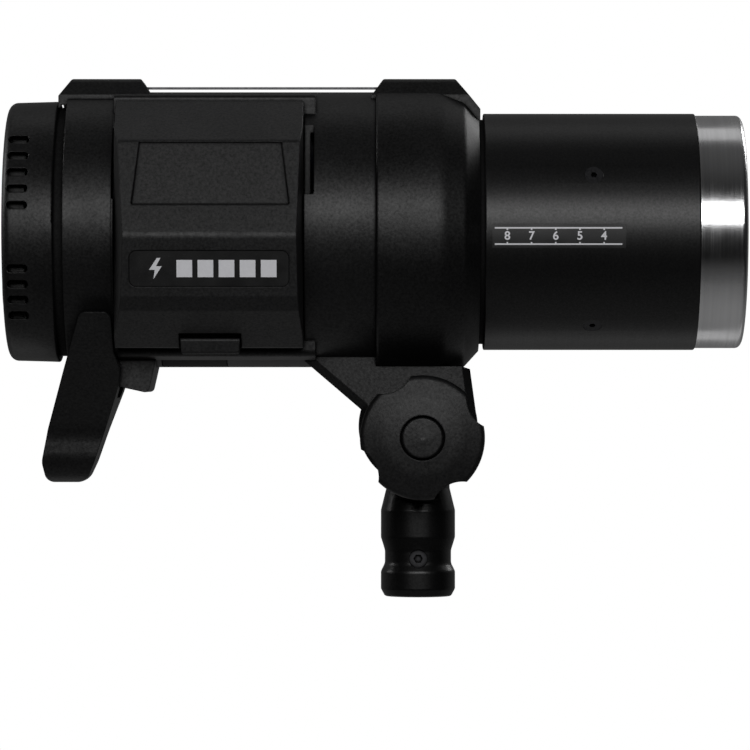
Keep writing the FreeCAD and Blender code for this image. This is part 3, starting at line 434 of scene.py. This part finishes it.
def make_materials():
    return {
        "casing_black": moulded("casing_black", 0.0032, 0.42),
        "battery_black": moulded("battery_black", 0.006, 0.46, 0.04, 2300),
        "belly_grey": moulded("belly_grey", 0.03, 0.55),
        "rubber_black": moulded("rubber_black", 0.003, 0.75, 0.02, 1800, 0.25),
        "tube_black": anodised("tube_black", 0.0035),
        "ring_bright": turned_metal("ring_bright", (0.9, 0.9, 0.91), 0.2),
        "reflector_bright": turned_metal("reflector_bright", (0.93, 0.93, 0.94), 0.25),
        "heatsink_metal": plain_metal("heatsink_metal", (0.6, 0.6, 0.61), 0.45),
        "black_metal": anodised("black_metal", 0.003, 0.33),
        "cast_black": moulded("cast_black", 0.0035, 0.42, 0.03, 1900),
        "screw_steel": plain_metal("screw_steel", (0.055, 0.055, 0.058), 0.42),
        "bolt_steel": plain_metal("bolt_steel", (0.58, 0.58, 0.6), 0.28),
        "contact_brass": plain_metal("contact_brass", (0.78, 0.58, 0.25), 0.25),
        "knob_black": moulded("knob_black", 0.006, 0.46, 0.03, 2300),
        "key_grey": moulded("key_grey", 0.06, 0.45, 0.03, 3000),
        "panel_black": lacquered("panel_black", 0.012, 0.34),
        "window_clear": clear_glass("window_clear", (0.75, 0.8, 0.82), 0.02),
        "glass_frosted": clear_glass("glass_frosted", (0.97, 0.98, 0.98), 0.35, 0.05),
        "tube_glass": clear_glass("tube_glass", (0.97, 0.98, 0.98), 0.03),
        "display_dark": lacquered("display_dark", 0.03, 0.15, (0.03, 0.045, 0.05)),
        "circuit_green": circuit_board("circuit_green"),
        "capacitor_blue": lacquered("capacitor_blue", 0.01, 0.5, (0.006, 0.009, 0.024)),
        "cell_wrap": lacquered("cell_wrap", 0.05, 0.25, (0.06, 0.25, 0.3)),
        "led_yellow": lacquered("led_yellow", 0.5, 0.4, (0.85, 0.7, 0.25)),
        "label_black": lacquered("label_black", 0.005, 0.42),
        "scale_black": lacquered("scale_black", 0.01, 0.45),
        "strap_grey": plain_metal("strap_grey", (0.1, 0.1, 0.105), 0.4),
        "print_white": printed("print_white", 0.96),
        "print_grey": printed("print_grey", 0.45),
    }


def dress_nodes(materials):
    for part in frame["record"]["subparts"]:
        node = NODES[part["node"]]
        node.data.materials.clear()
        node.data.materials.append(materials[part["material_slot"]])


# ---------------------------------------------------------------- printed marks
def slab(bm, corners, place):
    """One closed flat mark with the given (u, v) outline; place turns (u, v, lift) into a point."""
    rings = [[bm.verts.new(place(u, v, lift)) for u, v in corners] for lift in (0.0, INK)]
    bm.faces.new(list(reversed(rings[0])))
    bm.faces.new(rings[1])
    count = len(corners)
    for i in range(count):
        j = (i + 1) % count
        bm.faces.new((rings[0][i], rings[0][j], rings[1][j], rings[1][i]))


def bar(bm, u_low, u_high, v_low, v_high, place):
    slab(bm, [(u_low, v_low), (u_high, v_low), (u_high, v_high), (u_low, v_high)], place)


def numeral(bm, text, u, v, height, place):
    """A bold digit centred on (u, v), laid on the surface as a closed mark."""
    curve = bpy.data.curves.new("digit", "FONT")
    curve.body = text
    curve.align_x = "CENTER"
    curve.align_y = "CENTER"
    curve.size = height * 1.45
    curve.offset = height * 0.03
    curve.extrude = INK / 2
    holder = bpy.data.objects.new("digit", curve)
    SCENE.collection.objects.link(holder)
    bpy.context.view_layer.update()
    mesh = bpy.data.meshes.new_from_object(holder.evaluated_get(bpy.context.evaluated_depsgraph_get()))
    points = [bm.verts.new(place(u + p.co.x, v + p.co.y, p.co.z + INK / 2)) for p in mesh.vertices]
    for face in mesh.polygons:
        bm.faces.new([points[i] for i in face.vertices])
    bpy.data.objects.remove(holder)
    bpy.data.meshes.remove(mesh)


def marks_piece(name, bm, material, body):
    bmesh.ops.remove_doubles(bm, verts=bm.verts, dist=1e-7)
    bmesh.ops.recalc_face_normals(bm, faces=bm.faces)
    mesh = bpy.data.meshes.new(name)
    bm.to_mesh(mesh)
    bm.free()
    mesh.materials.append(MATERIALS[material])
    piece = bpy.data.objects.new(name, mesh)
    SCENE.collection.objects.link(piece)
    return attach(piece, body)


def on_tube(u, v, lift):
    """(x, height above the axis) on the scale plate."""
    radius = SCALE_R + PRINT_GAP
    return Vector((u, -math.sqrt(radius * radius - v * v) - lift, AXIS_Z + v))


def zoom_scale():
    """Two white lines with ticks at each number, which show how far a modifier is slid on."""
    bm = bmesh.new()
    places = [SCALE_FIRST_X + k * SCALE_STEP for k in range(len(SCALE_NUMBERS))]
    for level, inward in ((SCALE_LINE_TOP, -1), (SCALE_LINE_LOW, 1)):
        bar(bm, SCALE_LOW_X, SCALE_HIGH_X, level - SCALE_HALF_LINE, level + SCALE_HALF_LINE, on_tube)
        edge = level + inward * SCALE_HALF_LINE
        low, high = sorted((edge, edge + inward * SCALE_TICK))
        for x in places:
            bar(bm, x - SCALE_HALF_LINE, x + SCALE_HALF_LINE, low, high, on_tube)
    middle = (SCALE_LINE_TOP + SCALE_LINE_LOW) / 2
    for x, text in zip(places, SCALE_NUMBERS):
        numeral(bm, text, x, middle, NUMBER_HEIGHT, on_tube)
    marks_piece("zoom_scale_marks", bm, "print_white", "head")


def on_label(u, v, lift):
    """(x, z) on the sloping label of the battery."""
    return Vector((u, LABEL_LOW.y - PRINT_GAP + (LABEL_HIGH.z - v) * LABEL_LEAN - lift, v))


def battery_marks():
    """A plain bolt and a row of bars, as a charge sign."""
    bm = bmesh.new()
    middle = (LABEL_LOW.z + LABEL_HIGH.z) / 2
    half_width, half_height = LABEL_BOLT_SIZE
    slab(bm, [(LABEL_BOLT_X + u * half_width, middle + v * half_height) for u, v in BOLT], on_label)
    for k in range(BAR_COUNT):
        low = BAR_FIRST_X + k * BAR_STEP
        bar(bm, low, low + BAR_WIDTH, middle - BAR_HALF_HEIGHT, middle + BAR_HALF_HEIGHT, on_label)
    marks_piece("battery_label_marks", bm, "print_white", "battery")


def on_panel(u, v, lift):
    """(u to the right as seen from behind, height above the axis) on the rear panel."""
    return Vector((PANEL_LOW.x - PRINT_GAP - lift, -u, AXIS_Z + v))


def power_arc(radius):
    turns = [math.radians(POWER_START + POWER_SWEEP * k / POWER_STEPS) for k in range(POWER_STEPS + 1)]
    return [(BUTTON_SIDE + radius * math.cos(a), SIGN_LEVEL + radius * math.sin(a)) for a in turns]


def panel_marks():
    """Power and test signs under the two side buttons."""
    bm = bmesh.new()
    slab(bm, power_arc(POWER_OUTER_R) + power_arc(POWER_INNER_R)[::-1], on_panel)
    half_stroke = (POWER_OUTER_R - POWER_INNER_R) / 2
    stroke = (SIGN_LEVEL + 0.5 * MM, SIGN_LEVEL + 2.0 * MM)
    bar(bm, BUTTON_SIDE - half_stroke, BUTTON_SIDE + half_stroke, *stroke, on_panel)
    bolt = [(u * TEST_BOLT_SIZE - BUTTON_SIDE, v * TEST_BOLT_SIZE + SIGN_LEVEL) for u, v in BOLT]
    slab(bm, bolt, on_panel)
    marks_piece("panel_marks", bm, "print_grey", "head")


make_camera()
make_lights()
make_world()
make_floor()
MATERIALS = make_materials()
dress_nodes(MATERIALS)
zoom_scale()
battery_marks()
panel_marks()
SCENE.view_settings.view_transform = "Standard"
